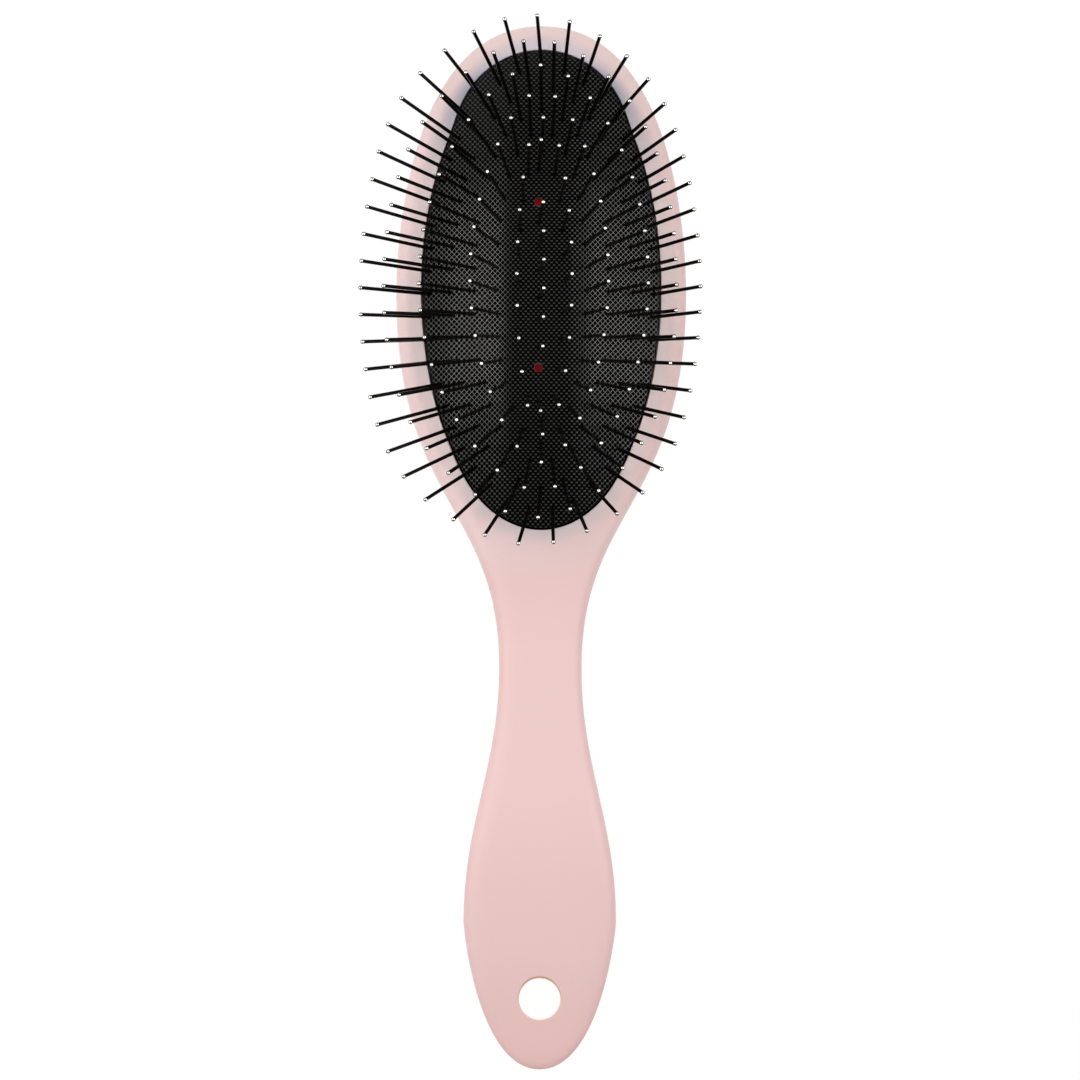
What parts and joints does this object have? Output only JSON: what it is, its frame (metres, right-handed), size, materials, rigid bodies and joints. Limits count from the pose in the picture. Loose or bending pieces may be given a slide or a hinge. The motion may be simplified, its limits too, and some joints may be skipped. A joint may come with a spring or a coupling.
{
  "type": "pin brush",
  "caption": "Oval cushion hairbrush: steel pins in a domed rubber air cushion, set in a one-piece moulded plastic handle with a hang hole.",
  "frame": {"origin": "on the flat back of the head, under the middle of the cushion", "axes": "+Z out of the cushion, the way the pins point; +Y towards the head's end, away from the handle; +X to the right when the pins face the viewer and the handle points down"},
  "size_m": [0.0769, 0.236, 0.051],
  "materials": {
    "handle_plastic": "soft-touch pale pink, fine matte",
    "skin_rubber": "black rubber with a fine embossed diamond weave",
    "frame_plastic": "plain black moulding",
    "pin_steel": "gloss black steel with polished round tips, on a dark red rubber backing"
  },
  "bodies": {
    "handle": {"handle": "handle_plastic", "cushion_skin": "skin_rubber", "cushion_frame": "frame_plastic"},
    "centre_row": {"pins_centre_row": "pin_steel"},
    "ring_5": {"pins_ring_5": "pin_steel"},
    "ring_4": {"pins_ring_4": "pin_steel"},
    "ring_3": {"pins_ring_3": "pin_steel"},
    "ring_2": {"pins_ring_2": "pin_steel"},
    "ring_1": {"pins_ring_1": "pin_steel"}
  },
  "joints": [
    {"name": "cushion_press", "type": "slide", "parent": "handle", "child": "centre_row", "axis": [0, 0, -1], "range_m": [0, 0.004], "stiffness_N_per_m": 500, "deforming": ["cushion_skin"]},
    {"name": "ring_5_press", "type": "slide", "parent": "handle", "child": "ring_5", "axis": [0, 0, -1], "range_m": [0, 0.0039], "stiffness_N_per_m": 400},
    {"name": "ring_4_press", "type": "slide", "parent": "handle", "child": "ring_4", "axis": [0, 0, -1], "range_m": [0, 0.0035], "stiffness_N_per_m": 400},
    {"name": "ring_3_press", "type": "slide", "parent": "handle", "child": "ring_3", "axis": [0, 0, -1], "range_m": [0, 0.0027], "stiffness_N_per_m": 400},
    {"name": "ring_2_press", "type": "slide", "parent": "handle", "child": "ring_2", "axis": [0, 0, -1], "range_m": [0, 0.0017], "stiffness_N_per_m": 400},
    {"name": "ring_1_press", "type": "slide", "parent": "handle", "child": "ring_1", "axis": [0, 0, -1], "range_m": [0, 0.0007], "stiffness_N_per_m": 400}
  ],
  "couplings": [
    {"joint": "ring_5_press", "follows": "cushion_press", "ratio": 0.97},
    {"joint": "ring_4_press", "follows": "cushion_press", "ratio": 0.86},
    {"joint": "ring_3_press", "follows": "cushion_press", "ratio": 0.66},
    {"joint": "ring_2_press", "follows": "cushion_press", "ratio": 0.42},
    {"joint": "ring_1_press", "follows": "cushion_press", "ratio": 0.15}
  ]
}
